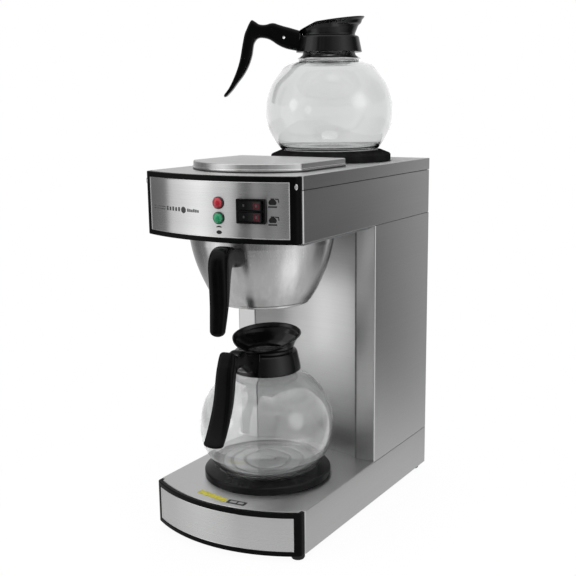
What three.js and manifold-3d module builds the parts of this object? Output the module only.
// Twin-warmer pour-over coffee brewer: machine, brew funnel and two glass
// decanters, every loose or fastened piece a solid of its own.
// Machine frame while building: X = 0 on the machine's centre plane, -Y to the
// front, Z = 0 on the underside of the base housing. The whole group is moved
// at the end so that its origin is the middle of its footprint, on the counter.
import * as THREE from 'three';
import { mergeVertices } from 'three/addons/utils/BufferGeometryUtils.js';
import Module from 'manifold-3d';

const wasm = await Module();
wasm.setup();

// ---------------------------------------------------------------- dimensions
const HW = 102.5;            // half width of the housings
const REAR = 341.6;          // rear face of column, base and head
const GAP = 0.3;             // clearance between neighbouring pieces
const FOOT_H = 7.0, FOOT_R = 8.0;
const SHEET = 1.4;           // housing sheet thickness
const BASE = { z0: 0, z1: 52.1, y0: 0.0, bulge: 29.0, wing: 8.0, win: 94.8 };
const HEAD = { z0: 355.6, z1: 427.8, y0: 2.0, bulge: 23.0, wing: 8.0, win: 93.6, seam: 413.1 };
const TRIM_T = 5.0;          // radial thickness of the moulded front frames
const COL = { y: 181.3, strip: 76.5, depth: 13.0 };
const WARM_LOW = [0, 90, BASE.z1], WARM_UP = [0, 254, HEAD.z1];
const POT_LOW = [0, 90, 7], POT_UP = [-1.5, 253, -60];   // x, y and handle turn from the front, degrees
const RING = { ro: 78.0, ri: 62.3, h0: 8.0, h1: 13.7 };
const PLATE_TOP = 14.0;
const FUN = { x: 0, y: 87, turn: 12, rim: 353.9, rimR: 90.5 };
const RAIL = { web: 94.5, lip: 86.0, out: 99.0, t: 1.1, z0: 351.2, z1: 355.3, y0: 24.0, y1: 180.0 };
const LID = { hw: 75.0, y1: 155.0, r: 88.5, yc: 104.0, z0: 1.6, z1: 10.0, t: 1.4 };
const PIN = { y: 152.3, z: HEAD.z1 + 4.4, r: 1.5, bore: 1.8, ear: 3.0 };
const BASIN = { hw: 60.0, y0: 40.0, y1: 138.0, depth: 30.0, flange: 6.0 };
const TANK = { hw: 82.0, y0: 200.0, y1: 330.0, z0: 236.0, z1: 366.0, t: 1.2 };

// ------------------------------------------------------------------- helpers
const deg = Math.PI / 180;
function toManifold(geometry) {
  let g = geometry.clone();
  for (const k of Object.keys(g.attributes)) if (k !== 'position') g.deleteAttribute(k);
  if (g.index) g = g.toNonIndexed();
  g = mergeVertices(g, 1e-4);
  const p = g.attributes.position, idx = g.index.array, tri = [];
  for (let i = 0; i < idx.length; i += 3) {
    const [a, b, c] = [idx[i], idx[i + 1], idx[i + 2]];
    if (a !== b && b !== c && a !== c) tri.push(a, b, c);
  }
  const v = new Float32Array(p.count * 3);
  for (let i = 0; i < p.count; i++) { v[3 * i] = p.getX(i); v[3 * i + 1] = p.getY(i); v[3 * i + 2] = p.getZ(i); }
  let vol = 0;
  for (let i = 0; i < tri.length; i += 3) {
    const [a, b, c] = [tri[i] * 3, tri[i + 1] * 3, tri[i + 2] * 3];
    vol += v[a] * (v[b + 1] * v[c + 2] - v[b + 2] * v[c + 1])
         - v[a + 1] * (v[b] * v[c + 2] - v[b + 2] * v[c])
         + v[a + 2] * (v[b] * v[c + 1] - v[b + 1] * v[c]);
  }
  if (vol < 0) for (let i = 0; i < tri.length; i += 3) { const t = tri[i + 1]; tri[i + 1] = tri[i + 2]; tri[i + 2] = t; }
  return new wasm.Manifold(new wasm.Mesh({ numProp: 3, vertProperties: v, triVerts: new Uint32Array(tri) }));
}
function toGeometry(m) {
  const r = m.getMesh();
  const g = new THREE.BufferGeometry();
  const n = r.numProp, cnt = r.vertProperties.length / n, pos = new Float32Array(cnt * 3);
  for (let i = 0; i < cnt; i++) for (let k = 0; k < 3; k++) pos[3 * i + k] = r.vertProperties[n * i + k];
  g.setAttribute('position', new THREE.BufferAttribute(pos, 3));
  g.setIndex(new THREE.BufferAttribute(new Uint32Array(r.triVerts), 1));
  const flat = g.toNonIndexed();
  flat.computeVertexNormals();
  return flat;
}
const union = (...s) => s.reduce((a, b) => a.add(b));
const cut = (a, ...s) => s.reduce((x, y) => x.subtract(y), a);

function box(x0, y0, z0, x1, y1, z1) {
  const g = new THREE.BoxGeometry(x1 - x0, y1 - y0, z1 - z0);
  g.translate((x0 + x1) / 2, (y0 + y1) / 2, (z0 + z1) / 2);
  return toManifold(g);
}
function shapeOf(points, holes = []) {
  const s = new THREE.Shape(points.map((p) => new THREE.Vector2(p[0], p[1])));
  for (const h of holes) s.holes.push(new THREE.Path(h.map((p) => new THREE.Vector2(p[0], p[1]))));
  return s;
}
// plan outline pulled up along Z
function prism(points, z0, z1, holes = []) {
  const g = new THREE.ExtrudeGeometry(shapeOf(points, holes), { depth: z1 - z0, bevelEnabled: false });
  g.translate(0, 0, z0);
  return toManifold(g);
}
// side outline in (y, z) pulled along X
function sidePlate(points, x0, x1) {
  const g = new THREE.ExtrudeGeometry(shapeOf(points), { depth: x1 - x0, bevelEnabled: false });
  g.rotateX(Math.PI / 2); g.rotateZ(Math.PI / 2);       // (u, v, w) -> (w, u, v)
  g.translate(x0, 0, 0);
  return toManifold(g);
}
// turned solid about Z; profile of [radius, z]
function turned(profile, seg = 36, x = 0, y = 0, z = 0) {
  const closed = profile[0][0] > 1e-6 || profile[profile.length - 1][0] > 1e-6;
  const pts = profile.map((p) => new THREE.Vector2(p[0], p[1]));
  if (closed) pts.push(pts[0].clone());
  const g = new THREE.LatheGeometry(pts, seg);
  g.rotateX(Math.PI / 2);
  g.translate(x, y, z);
  return toManifold(g);
}
// turned solid about the local -Y axis, profile of [radius, distance outwards]
function turnedOut(profile, seg, at, angle) {
  const pts = profile.map((p) => new THREE.Vector2(p[0], -p[1]));
  const closed = profile[0][0] > 1e-6;
  if (closed) pts.push(pts[0].clone());
  const g = new THREE.LatheGeometry(pts, seg);
  g.rotateZ(angle); g.translate(at[0], at[1], at[2]);
  return toManifold(g);
}
function pipe(points, r, steps, seg = 10, rad = 14) {
  const v = points.map((p) => new THREE.Vector3(...p));
  const path = new THREE.CurvePath();
  if (rad > 0) {
    let prev = v[0];
    for (let i = 1; i < v.length - 1; i++) {
      const a = v[i].clone().sub(v[i - 1]).normalize(), b = v[i + 1].clone().sub(v[i]).normalize();
      const p0 = v[i].clone().addScaledVector(a, -rad), p1 = v[i].clone().addScaledVector(b, rad);
      path.add(new THREE.LineCurve3(prev, p0));
      path.add(new THREE.QuadraticBezierCurve3(p0, v[i], p1));
      prev = p1;
    }
    path.add(new THREE.LineCurve3(prev, v[v.length - 1]));
  } else path.add(new THREE.LineCurve3(v[0], v[1]));
  const c = [];
  for (let i = 0; i < seg; i++) c.push([r * Math.cos(2 * Math.PI * i / seg), r * Math.sin(2 * Math.PI * i / seg)]);
  return toManifold(new THREE.ExtrudeGeometry(shapeOf(c), { steps, extrudePath: path, bevelEnabled: false }));
}
function circle(r, n, x = 0, y = 0) {
  const c = [];
  for (let i = 0; i < n; i++) c.push([x + r * Math.cos(2 * Math.PI * i / n), y + r * Math.sin(2 * Math.PI * i / n)]);
  return c;
}
// bowed front: a circle through the two front corners
function bow(f) {
  const R = (HW * HW + f.bulge * f.bulge) / (2 * f.bulge);
  return { R, yc: f.y0 - f.bulge + R };
}
function bowArc(b, r, hw, n) {               // from -hw to +hw on radius r
  const t = Math.asin(hw / r), out = [];
  for (let i = 0; i <= n; i++) { const a = -t + 2 * t * i / n; out.push([r * Math.sin(a), b.yc - r * Math.cos(a)]); }
  return out;
}
// housing plan: square at the rear, bowed front set back behind the front frame
function housingPlan(f, inset, hwInset, rearInset) {
  const b = bow(f), w = HW - hwInset;
  const r = b.R - TRIM_T - GAP - inset, hwA = HW - TRIM_T - GAP - inset;
  const arc = bowArc(b, r, hwA, 18);
  const step = f.y0 + f.wing + GAP + inset;
  return [[w, step], [w, REAR - rearInset], [-w, REAR - rearInset], [-w, step], [-hwA, step], ...arc, [hwA, step]];
}
function trimSolid(f) {
  const b = bow(f), r = 6.0;
  const cx = HW - r, cy = b.yc - Math.sqrt((b.R - r) ** 2 - cx * cx);
  const aEnd = Math.atan2(cx, b.yc - cy);
  const outer = [];
  for (let i = 0; i <= 20; i++) { const a = -aEnd + 2 * aEnd * i / 20; outer.push([b.R * Math.sin(a), b.yc - b.R * Math.cos(a)]); }
  const fil = [];
  for (let i = 1; i <= 4; i++) { const a = aEnd + (Math.PI / 2 - aEnd) * i / 4; fil.push([cx + r * Math.sin(a), cy - r * Math.cos(a)]); }
  const right = [...fil, [HW, f.y0 + f.wing], [HW - TRIM_T, f.y0 + f.wing]];
  const left = right.map((p) => [-p[0], p[1]]).reverse();
  const inner = bowArc(b, b.R - TRIM_T, HW - TRIM_T, 18).reverse();
  const plan = [...outer, ...right, ...inner, ...left];
  const ring = prism(plan, f.z0, f.z1);
  const win = prism([[-f.win, f.y0 - f.bulge - 5], [f.win, f.y0 - f.bulge - 5], [f.win, 60], [-f.win, 60]], f.z0 + 5.3, f.z1 - 5.7);
  return cut(ring, win);
}
function fasciaSolid(f) {
  const b = bow(f);
  const o = bowArc(b, b.R - 0.8, f.win - 0.4, 20), i = bowArc(b, b.R - 2.2, f.win - 0.4, 20).reverse();
  return prism([...o, ...i], f.z0 + 5.3 + GAP, f.z1 - 5.7 - GAP);
}
function onFascia(x) {                        // point and turn on the head's steel front
  const b = bow(HEAD), r = b.R - 0.8, a = Math.asin(x / r);
  return { x, y: b.yc - r * Math.cos(a), a };
}
function turnZ(m, angle, at) {
  const g = toGeometry(m);
  g.rotateZ(angle); g.translate(at[0], at[1], at[2]);
  return toManifold(g);
}
const mat = {
  steel: [0xb4b6b7, 0.32, 1.0], darksteel: [0x8e9092, 0.4, 1.0], polished: [0xd2d4d6, 0.15, 1.0],
  black: [0x111112, 0.42, 0.0], rubber: [0x161616, 0.85, 0.0], plate: [0x77787a, 0.45, 0.9],
  glass: [0xeef2f2, 0.05, 0.0], red: [0xb01828, 0.2, 0.0], green: [0x128a4e, 0.2, 0.0],
  brass: [0xb08d4a, 0.35, 1.0], enamel: [0x1b1c1d, 0.35, 0.0], phenolic: [0x4a3b30, 0.6, 0.0],
};
function mesh(name, solid, m) {
  const [color, roughness, metalness] = mat[m];
  const material = new THREE.MeshStandardMaterial({ color, roughness, metalness });
  if (m === 'glass') { material.transparent = true; material.opacity = 0.35; }
  const o = new THREE.Mesh(toGeometry(solid), material);
  o.name = name;
  return o;
}

const machine = new THREE.Group();
const add = (name, solid, m, parent = machine) => { const o = mesh(name, solid, m); parent.add(o); return o; };

// ---------------------------------------------------------------------- base
{
  const out = prism(housingPlan(BASE, 0, 0, 0), BASE.z0, BASE.z1);
  const inn = prism(housingPlan(BASE, SHEET, SHEET, SHEET), -5, BASE.z1 - SHEET);
  const glandHole = turned([[0, -20], [9.3, -20], [9.3, 20], [0, 20]], 16);
  let gh = toGeometry(glandHole); gh.rotateX(Math.PI / 2); gh.translate(62, REAR - 2, 26);
  const lead = turned([[0, -10], [6, -10], [6, 10], [0, 10]], 12, WARM_LOW[0], WARM_LOW[1], BASE.z1);
  add('base_shell', cut(out, inn, toManifold(gh), lead), 'steel');
  add('base_bottom_plate', prism(housingPlan(BASE, SHEET + 0.4, SHEET + 0.4, SHEET + 0.4), 0, SHEET), 'darksteel');
  add('base_trim', trimSolid(BASE), 'black');
  add('base_fascia', fasciaSolid(BASE), 'steel');
  for (const [n, x, y] of [['foot_front_left', -92, 9], ['foot_front_right', 92, 9], ['foot_rear_left', -90, 328], ['foot_rear_right', 90, 328]])
    add(n, turned([[0, -FOOT_H], [6.6, -FOOT_H], [FOOT_R, -5.2], [FOOT_R, -1.4], [7.2, -GAP], [0, -GAP]], 20, x, y, 0), 'rubber');
  // cord gland: a bushing with a through bore, empty here
  const gl = turned([[4.6, -8], [4.6, 8], [7.5, 8], [9.0, 5.0], [12.5, 4.2], [12.5, 1.9 + GAP], [9.0, 1.9 + GAP], [9.0, -8]], 16);
  const gg = toGeometry(gl); gg.rotateX(-Math.PI / 2); gg.translate(62, REAR - 1.9, 26);
  add('cord_gland', toManifold(gg), 'black');
  add('terminal_block', union(box(20, 250, 6, 60, 266, 16), box(20, 250, 15.9, 22, 266, 22), box(38.5, 250, 15.9, 41.5, 266, 22), box(58, 250, 15.9, 60, 266, 22)), 'phenolic');
}

// ------------------------------------------------------------------- warmers
function warmer(prefix, c) {
  const g = new THREE.Group(); g.position.set(...c); machine.add(g);
  add(prefix + '_ring', turned([[RING.ri, GAP], [RING.ro, GAP], [RING.ro, RING.h0], [RING.ro - 1.6, RING.h0 + 1.4], [RING.ri + 3.5, RING.h1], [RING.ri, RING.h1]], 30), 'enamel', g);
  add(prefix + '_plate', turned([[0, PLATE_TOP], [RING.ri - 1.0, PLATE_TOP], [RING.ri - GAP, PLATE_TOP - 0.7], [RING.ri - GAP, 0.6], [RING.ri - 1.7, 0.6], [RING.ri - 1.7, PLATE_TOP - 1.4], [0, PLATE_TOP - 1.4]], 30), 'plate', g);
  // sheathed element: a flat ring pressed up under the plate
  add(prefix + '_element', turned([[36, 5.6], [44, 5.6], [45.5, 8.8], [44, 12.1], [36, 12.1], [34.5, 8.8]], 18), 'darksteel', g);
}
warmer('warmer_lower', WARM_LOW);
warmer('warmer_upper', WARM_UP);

// -------------------------------------------------------------------- column
{
  const z0 = BASE.z1 + GAP, z1 = HEAD.z0 - GAP;
  const t = 1.2, y = COL.y;
  const L = (s) => {
    const p = [[HW, y + 1.2], [HW, REAR], [HW - 14, REAR], [HW - 14, REAR - t], [HW - t, REAR - t], [HW - t, y + t], [COL.strip, y + t], [COL.strip, y], [HW - 1.2, y]];
    return s > 0 ? p : p.map((q) => [-q[0], q[1]]).reverse();
  };
  const screws = [[94.5, 84], [94.5, 324]];
  const holes = (s) => screws.map(([x, z]) => {
    const g = toGeometry(turned([[0, -6], [2.1, -6], [2.1, 6], [0, 6]], 12)); g.rotateX(Math.PI / 2); g.translate(s * x, REAR - 2, z);
    return toManifold(g);
  });
  add('column_panel_right', cut(prism(L(1), z0, z1), ...holes(1)), 'steel');
  add('column_panel_left', cut(prism(L(-1), z0, z1), ...holes(-1)), 'steel');
  // concave splash panel between the strips
  const w = COL.strip, d = COL.depth, R = (w * w + d * d) / (2 * d), yb = y + t + GAP;
  const front = [], back = [];
  const a = Math.asin(w / R);
  for (let i = 0; i <= 14; i++) {
    const q = -a + 2 * a * i / 14;
    front.push([R * Math.sin(q), yb + d - R + R * Math.cos(q)]);
    back.push([(R + t) * Math.sin(q), yb + d - R + (R + t) * Math.cos(q)]);
  }
  const plan = [[-90, yb], ...front, [90, yb], [90, yb + t], ...back.reverse(), [-90, yb + t]];
  add('splash_panel', prism(plan, z0, z1), 'steel');
  let rear = box(-99.5, REAR - 3.0, z0 + 2, 99.5, REAR - 1.5, z1 - 2);
  const slots = [];
  for (let k = 0; k < 6; k++) slots.push(box(-34, REAR - 8, 286 + 8 * k, 34, REAR + 2, 289.4 + 8 * k));
  rear = cut(rear, ...slots, ...holes(1), ...holes(-1));
  add('rear_panel', rear, 'darksteel');
  let n = 1;
  for (const s of [-1, 1]) for (const [x, z] of screws) {
    const g = toGeometry(turned([[0, -6.0], [1.8, -6.0], [1.8, GAP], [3.6, GAP], [3.6, 1.1], [2.2, 1.9], [0, 1.9]], 12));
    g.rotateX(-Math.PI / 2); g.translate(s * x, REAR, z);
    add('rear_screw_' + n++, toManifold(g), 'polished');
  }
}

// ---------------------------------------------------------------------- tank
{
  const T = TANK;
  add('tank', cut(box(-T.hw, T.y0, T.z0, T.hw, T.y1, T.z1), box(-T.hw + T.t, T.y0 + T.t, T.z0 + T.t, T.hw - T.t, T.y1 - T.t, T.z1 + 5)), 'darksteel');
  const hole = (x, y, r) => turned([[0, T.z1 - 4], [r, T.z1 - 4], [r, T.z1 + 10], [0, T.z1 + 10]], 14, x, y, 0);
  let lid = union(box(-T.hw - 3, T.y0 - 3, T.z1 + GAP, T.hw + 3, T.y1 + 3, T.z1 + 1.6));
  lid = cut(lid, hole(-40, 232, 7.4), hole(0, 232, 7.4), hole(40, 232, 4.4), hole(40, 292, 4.4), hole(-40, 292, 3.4));
  add('tank_lid', lid, 'steel');
  add('fill_tube', pipe([[-40, 118, 395.2], [-40, 118, 382], [-40, 232, 382], [-40, 232, 250]], 6, 18, 8, 10.5), 'steel');
  add('outlet_tube', pipe([[0, 232, 352], [0, 232, 384], [0, FUN.y, 384], [0, FUN.y, 359.5]], 6, 18, 8), 'steel');
  // sheathed immersion heater, a hairpin hung from the tank lid
  add('immersion_heater', pipe([[40, 232, 374], [40, 232, 262], [40, 292, 262], [40, 292, 374]], 3.3, 18, 6), 'polished');
  add('tank_thermostat', turned([[0, 300], [2.6, 300], [2.6, T.z1 + 1.9], [8, T.z1 + 1.9], [8, T.z1 + 14], [0, T.z1 + 14]], 14, -40, 292, 0), 'brass');
}

// ---------------------------------------------------------------------- head
{
  const seam = HEAD.seam;
  const out = prism(housingPlan(HEAD, 0, 0, 0), HEAD.z0, seam - GAP);
  const inn = prism(housingPlan(HEAD, SHEET, SHEET, SHEET), HEAD.z0 + SHEET, seam + 5);
  const frontOpen = box(-HW + TRIM_T + GAP + SHEET, -30, HEAD.z0 + SHEET, HW - TRIM_T - GAP - SHEET, 14, seam + 5);
  const bay = box(-88, 190, HEAD.z0 - 5, 88, 336, HEAD.z0 + 5);
  const spray = turned([[0, HEAD.z0 - 5], [31.0, HEAD.z0 - 5], [31.0, HEAD.z0 + 5], [0, HEAD.z0 + 5]], 20, FUN.x, FUN.y, 0);
  add('head_shell', cut(out, inn, frontOpen, bay, spray), 'steel');

  const top = prism(housingPlan(HEAD, 0, 0, 0), seam, HEAD.z1);
  const topIn = prism(housingPlan(HEAD, SHEET, SHEET, SHEET), seam - 5, HEAD.z1 - SHEET);
  const mouth = prism(dPlan(BASIN.hw + 0.8, BASIN.y0 - 0.8, BASIN.y1 + 0.8), HEAD.z1 - 5, HEAD.z1 + 5);
  const lead = turned([[0, -10], [6, -10], [6, 10], [0, 10]], 12, WARM_UP[0], WARM_UP[1], HEAD.z1);
  const tf = box(-HW + TRIM_T + GAP + SHEET, -30, seam - 5, HW - TRIM_T - GAP - SHEET, 14, HEAD.z1 - SHEET);
  add('head_top_cover', cut(top, topIn, mouth, lead, tf), 'steel');

  const lampX = 14.4, lampZ = [398.7, 382.4], sw = { x: 53.4, z: 391.0 };
  const lf = onFascia(lampX), sf = onFascia(sw.x);
  let trim = trimSolid(HEAD);
  // screws through the frame's rounded corners
  const corner = (g, s) => { g.rotateY(s * Math.PI / 2); g.rotateZ(-s * 52 * deg); g.translate(s * 100.19, 1.11, 417.0); return toManifold(g); };
  const sideBore = (s) => corner(toGeometry(turned([[0, -6], [1.4, -6], [1.4, 6], [0, 6]], 10)), s);
  trim = cut(trim, sideBore(1), sideBore(-1));
  add('head_trim', trim, 'black');
  for (const [n, s] of [['head_trim_screw_left', -1], ['head_trim_screw_right', 1]]) {
    const g = toGeometry(turned([[0, -4], [1.1, -4], [1.1, GAP], [2.3, GAP], [2.3, 0.8], [1.3, 1.4], [0, 1.4]], 12));
    add(n, corner(g, s), 'polished');
  }
  let fascia = fasciaSolid(HEAD);
  for (const z of lampZ) fascia = cut(fascia, turnedOut([[0, -12], [4.9, -12], [4.9, 8], [0, 8]], 16, [lf.x, lf.y, z], lf.a));
  fascia = cut(fascia, turnZ(box(-15.6, -8, -12.4, 15.6, 12, 12.4), sf.a, [sf.x, sf.y, sw.z]));
  add('head_fascia', fascia, 'steel');
  const lamp = (z) => turnedOut([[0, -14], [4.5, -14], [4.5, 0.4], [6.7, 0.4], [6.7, 2.2], [5.6, 4.2], [3.4, 5.6], [0, 6.1]], 20, [lf.x, lf.y, z], lf.a);
  add('lamp_red', lamp(lampZ[0]), 'red');
  add('lamp_green', lamp(lampZ[1]), 'green');
  // double rocker switch
  let hs = union(box(-16.7, -2.9, -13.3, 16.7, -0.4, 13.3), box(-15.2, -0.5, -12.0, 15.2, 20, 12.0));
  for (const s of [-1, 1]) hs = cut(hs, box(-14.5, -6, s * 6.05 - 5.35, 14.5, 13, s * 6.05 + 5.35));
  add('switch_housing', turnZ(hs, sf.a, [sf.x, sf.y, sw.z]), 'black');
  for (const [n, s] of [['rocker_upper', 1], ['rocker_lower', -1]]) {
    const plan = [[-13.3, -4.4], [0, -3.0], [13.3, -4.4], [13.3, 1.0], [8, 7.0], [-8, 7.0], [-13.3, 1.0]];
    const py = 3.0, pts = plan.map(([x, y]) => {
      const c = Math.cos(-7 * deg), q = Math.sin(-7 * deg);
      return [x * c - (y - py) * q, x * q + (y - py) * c + py];
    });
    add(n, turnZ(prism(pts, s * 6.05 - 5.0, s * 6.05 + 5.0), sf.a, [sf.x, sf.y, sw.z]), 'black');
  }
  // funnel rails: low hangers, a flange screwed up to the floor and an inward lip under the funnel's rim
  for (const [n, s] of [['funnel_rail_left', -1], ['funnel_rail_right', 1]]) {
    const { web, lip, out: far, t: th, z0: a0, z1: a1 } = RAIL;
    const p = [[web, a0], [web, a1 - th], [far, a1 - th], [far, a1], [web - th, a1], [web - th, a0 + th], [lip, a0 + th], [lip, a0]];
    const g = new THREE.ExtrudeGeometry(shapeOf(p), { depth: RAIL.y1 - RAIL.y0, bevelEnabled: false });
    g.rotateX(Math.PI / 2); g.translate(0, RAIL.y1, 0);   // (u, v, w) -> (u, -w, v)
    let m = toManifold(g);
    if (s < 0) { const h = toGeometry(m); h.scale(-1, 1, 1); m = toManifold(h); }
    add(n, m, 'steel');
  }
  // spray head: a shallow dish let down through the floor on its flange, with a spigot for the outlet tube
  add('spray_head', turned([[0, 354.4], [27, 354.4], [29.4, 355.2], [29.4, 357.3], [35, 357.3], [35, 358.5], [6.9, 358.5], [6.9, 366], [6.5, 366], [6.5, 356.0], [0, 356.0]], 20, FUN.x, FUN.y, 0), 'polished');
  // fill basin hung in the top opening
  const bz = HEAD.z1, fl = BASIN.flange;
  const pan = cut(
    union(prism(dPlan(BASIN.hw, BASIN.y0, BASIN.y1), bz - BASIN.depth, bz + 1.4), prism(dPlan(BASIN.hw + fl, BASIN.y0 - fl, BASIN.y1 + fl), bz + GAP, bz + 1.4)),
    prism(dPlan(BASIN.hw - 1.2, BASIN.y0 + 1.2, BASIN.y1 - 1.2), bz - BASIN.depth + 1.2, bz + 9),
    turned([[0, bz - 60], [5, bz - 60], [5, bz], [0, bz]], 14, -40, 118, 0));
  add('fill_basin', pan, 'steel');
}

// D-shaped plan with a bowed front, used by the lid and the fill opening
function dPlan(hw, y0, y1, n = 14) {
  const k = hw / LID.hw, r = LID.r * k, yc = y0 + r, t = Math.asin(hw / r), out = [];
  for (let i = 0; i <= n; i++) { const a = -t + 2 * t * i / n; out.push([r * Math.sin(a), yc - r * Math.cos(a)]); }
  return [...out, [hw, y1], [-hw, y1]];
}

// ----------------------------------------------------------------------- lid
{
  const z0 = HEAD.z1 + LID.z0, z1 = HEAD.z1 + LID.z1, y0 = LID.yc - LID.r, t = LID.t;
  let lid = cut(prism(dPlan(LID.hw, y0, LID.y1), z0, z1), prism(dPlan(LID.hw - t, y0 + t, LID.y1 + 5), z0 - 5, z1 - t));
  const lug = (x) => union(
    box(x - 6, PIN.y - 1.6, PIN.z, x + 6, PIN.y + 1.6, z1 - t + 0.2),
    sidePlate(circle(PIN.ear, 10, PIN.y, PIN.z), x - 6, x + 6));
  const boreX = sidePlate(circle(PIN.bore, 8, PIN.y, PIN.z), -200, 200);
  lid = cut(union(lid, lug(-38), lug(38)), boreX);
  add('lid', lid, 'steel');
  const ears = (x) => union(box(x - 3, PIN.y - 2.2, HEAD.z1 + GAP, x + 3, PIN.y + 2.2, PIN.z), sidePlate(circle(PIN.ear, 10, PIN.y, PIN.z), x - 3, x + 3));
  const strip = box(-60, PIN.y - 5.2, HEAD.z1 + GAP, 60, PIN.y + 2.2, HEAD.z1 + 1.1);
  add('hinge_bracket', cut(union(strip, ears(-50), ears(-26), ears(26), ears(50)), boreX), 'steel');
  add('hinge_pin', sidePlate(circle(PIN.r, 10, PIN.y, PIN.z), -54, 54), 'polished');
}

// --------------------------------------------------------------- brew funnel
{
  const g = new THREE.Group();
  g.position.set(FUN.x, FUN.y, 0);
  machine.add(g);
  const out = [[84.9, 345], [82.1, 331], [77.7, 316], [71.2, 299.7], [64.6, 286], [59.2, 277.2], [53.7, 272.6], [46, 270.6], [7, 269.8], [6, 264]];
  const inn = [[4.6, 264], [4.6, 271.2], [46, 272.0], [52.7, 273.9], [58.1, 278.1], [70.0, 300.2], [76.5, 316.4], [80.9, 331.2], [83.7, FUN.rim]];
  const flange = [[FUN.rimR, FUN.rim], [FUN.rimR, FUN.rim - 1.3], [85.1, FUN.rim - 1.3]];
  let bowl = turned([...out, ...inn, ...flange], 30);
  add('funnel_bowl', bowl, 'steel', g);
  // wire-rack stand-in: a ring and cross bars that hold the filter off the floor
  const ring = turned([[34, 275.2], [37, 275.2], [37, 277.6], [34, 277.6]], 18);
  const bars = union(box(-35.5, -1.2, 275.2, 35.5, 1.2, 277.6), box(-1.2, -35.5, 275.2, 1.2, 35.5, 277.6));
  const legs = [0, 90, 180, 270].map((a) => { const q = toGeometry(box(34.2, -1.1, 272.4, 36.8, 1.1, 275.6)); q.rotateZ((a + 45) * deg); return toManifold(q); });
  add('filter_rack', union(ring, bars, ...legs), 'polished', g);
  // handle: socket block, arm and hanging grip, in the plane turned a little from the front
  const h = new THREE.Group(); h.rotation.z = FUN.turn * deg; g.add(h);
  const prof = [[86.6, 330.0], [86.6, 347.0], [100, 349.5], [112, 352.6], [123, 352.9], [131.5, 350.0], [137, 344], [139.2, 336], [138.2, 318], [137.6, 300], [139.0, 282], [142.0, 266], [142.4, 260], [139.6, 257.4], [133.8, 258.4], [131.8, 264], [126, 282], [120.8, 300], [117.2, 316], [114.2, 325.5], [110.4, 329.4], [104, 330.4]];
  const side = prof.map(([r, z]) => [-r, z]);
  let hs = sidePlate(side, -9.6, 9.6);
  hs = union(hs, box(-11, -104.5, 329.9, 11, -85.8, 347.0));
  const wall = turned([[0, 300], [82.4, 300], [82.4, 331], [85.3, 345.3], [85.5, 350.0], [0, 350.0]], 30);
  const bore = (() => { const q = toGeometry(turned([[0, -30], [2.0, -30], [2.0, 12], [0, 12]], 10)); q.rotateX(-Math.PI / 2); q.translate(0, -84.5, 339); return toManifold(q); })();
  hs = cut(hs, toManifold((() => { const q = toGeometry(wall); q.rotateZ(-FUN.turn * deg); return q; })()));
  hs = cut(hs, box(-20, -91.5, 351.0, 20, -60, 357), bore); // keeps clear of the rim flange
  add('funnel_handle', hs, 'black', h);
  const sc = toGeometry(turned([[0, -12], [1.6, -12], [1.6, 1.4], [4.0, 1.4], [4.0, 2.6], [0, 2.9]], 12));
  sc.rotateX(-Math.PI / 2); // head inside the bowl, shank into the handle
  sc.translate(0, -81.6, 339);
  const screwHole = (() => { const q = toGeometry(turned([[0, -14], [2.0, -14], [2.0, 14], [0, 14]], 10)); q.rotateX(-Math.PI / 2); q.translate(0, -83.5, 339); q.rotateZ(FUN.turn * deg); return toManifold(q); })();
  bowl = cut(bowl, screwHole);
  g.children[0].geometry = toGeometry(bowl);
  add('funnel_screw', toManifold(sc), 'polished', h);
}

// ------------------------------------------------------------------ decanters
function ringLoft(levels, n) {
  // closed loft through rings of [radiusFn, heightFn] around Z, first ring joined to last
  const pos = [], idx = [], m = levels.length;
  for (const [rf, hf] of levels) for (let i = 0; i < n; i++) {
    const a = 2 * Math.PI * i / n, r = rf(a), z = hf(a, r);
    pos.push(r * Math.sin(a), -r * Math.cos(a), z);     // a = 0 points to the handle (-Y)
  }
  for (let k = 0; k < m; k++) for (let i = 0; i < n; i++) {
    const a = k * n + i, b = k * n + (i + 1) % n, c = ((k + 1) % m) * n + (i + 1) % n, d = ((k + 1) % m) * n + i;
    idx.push(a, b, c, a, c, d);
  }
  const g = new THREE.BufferGeometry();
  g.setAttribute('position', new THREE.Float32BufferAttribute(pos, 3));
  g.setIndex(idx);
  return toManifold(g);
}
const glassOut = [[0, 0.4], [61.4, 0.4], [65.0, 3.2], [70.5, 11], [77.8, 23.4], [82.2, 42], [82.2, 56], [78.0, 75.6], [70.2, 90.6], [62.8, 99.6], [56.0, 106.0], [44.0, 111.6], [34.0, 114.8], [31.6, 117.2], [30.2, 121], [30.2, 136.2], [31.4, 138.4]];
const glassIn = [[28.4, 139.2], [28.2, 119.4], [32.6, 112.8], [43.0, 109.4], [54.4, 104.0], [68.2, 88.6], [75.6, 74.6], [79.7, 56], [79.7, 42], [75.4, 24.4], [68.4, 12.8], [62.4, 4.4], [0, 3.2]];
const rimH = (a, r) => {                 // height of the pouring rim against distance towards the handle
  const s = r * Math.cos(a);             // + towards the handle
  const plane = 166.6 - (s + 43.2) * 0.128;
  return s > 17 ? plane - (s - 17) * 0.31 : plane;
};
const rimR = (a) => 41.8 - 3.3 * Math.cos(a) + 0.3 * Math.cos(a) ** 2;
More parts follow.
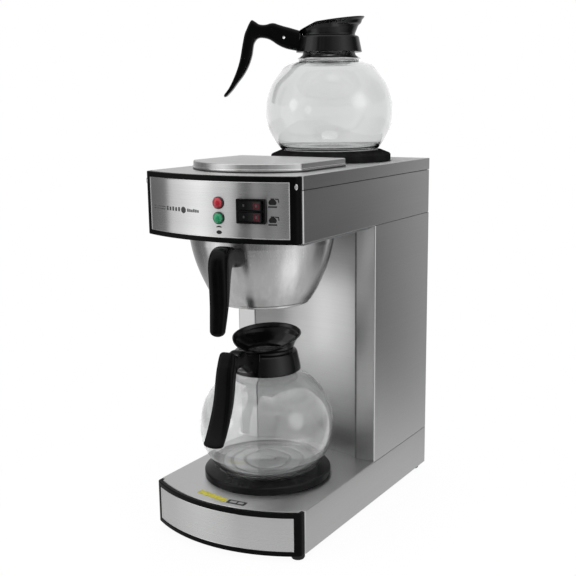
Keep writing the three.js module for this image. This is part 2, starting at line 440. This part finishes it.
function decanter(prefix, x, y, z, turn, drop) {
  const g = new THREE.Group(); g.position.set(x, y, z); g.rotation.z = turn * deg; machine.add(g);
  add(prefix + '_glass', turned([...glassOut, ...glassIn], 28), 'glass', g);
  // polished clamp band that flares over the shoulder
  add(prefix + '_band', turned([[30.8, 122.3], [30.9, 120.8], [33.0, 117.6], [39.4, 114.3], [40.3, 115.1], [34.6, 118.4], [33.0, 122.3]], 24), 'polished', g);
  const c = (v) => () => v;
  let top = ringLoft([
    [c(33.6), c(122.8)], [c(42.2), c(122.8)], [c(38.0), c(142.3)], [c(32.8), c(144.2)], [c(33.2), c(145.8)],
    [(a) => rimR(a) - 0.2, (a, r) => rimH(a, r) - 2.4], [(a) => rimR(a), rimH], [(a) => rimR(a) - 2.2, (a, r) => rimH(a, r) - 0.6],
    [c(25.4), c(146.4)], [c(22.0), c(144.0)], [c(22.0), c(141.6)], [c(32.6), c(140.2)],
  ], 26);
  // handle outline: [distance from the axis, height]
  const prof = [[36, 149.6], [48.6, 153.2], [61.5, 156.5], [72.4, 159.6], [78.3, 157.9], [83.6, 157.3], [89.5, 158.2], [94.5, 161.8], [98.4, 163.2], [101.8, 158.6], [107.4, 147], [110.6, 133], [113.6, 117], [117.8, 102], [128.4, 79], [136.6 + 0.7 * drop, 69.9 - drop], [137.6 + 0.7 * drop, 66.6 - drop], [134.8 + 0.5 * drop, 66.0 - drop], [119.8, 81.4], [106.2, 99.6], [101.2, 110.2], [97.8, 121.8], [96.4, 132.2], [94.4, 138.8], [89.0, 141.4], [79.9, 140.2], [72.2, 137.0], [63.2, 130.8], [54, 127.3], [38, 124]];
  const side = prof.map(([r, h]) => [-r, h]);
  const bore = sidePlate(circle(1.7, 10, -57.5, 141.2), -20, 20);
  // the grip widens towards its lower end
  const face = prism([[-10.0, -175], [10.0, -175], [10.0, -128], [12.6, -50], [-12.6, -50], [-10.0, -128]], -150, 10);
  const mask = toGeometry(face); mask.rotateX(-Math.PI / 2);
  top = union(top, sidePlate(side, -13, 13).intersect(toManifold(mask)));
  const inside = turned([[0, 110], [33.6, 110], [33.6, 122.8], [32.6, 140.2], [22.0, 141.6], [22.0, 144.0], [25.4, 146.4], [37.0, 152], [37.0, 200], [0, 200]], 26);
  top = cut(top, inside.intersect(box(-19, -60, 100, 19, 10, 146.4)), bore);
  add(prefix + '_pourer', top, 'black', g);
  return g;
}
decanter('decanter_lower', POT_LOW[0], POT_LOW[1], BASE.z1 + PLATE_TOP, POT_LOW[2], 4.5);
decanter('decanter_upper', POT_UP[0], POT_UP[1], HEAD.z1 + PLATE_TOP, POT_UP[2], 0);

// ------------------------------------------------- origin at the footprint
machine.updateMatrixWorld(true);
const bounds = new THREE.Box3().setFromObject(machine, true);
machine.position.set(-(bounds.min.x + bounds.max.x) / 2, -(bounds.min.y + bounds.max.y) / 2, -bounds.min.z);
machine.updateMatrixWorld(true);

export default machine;
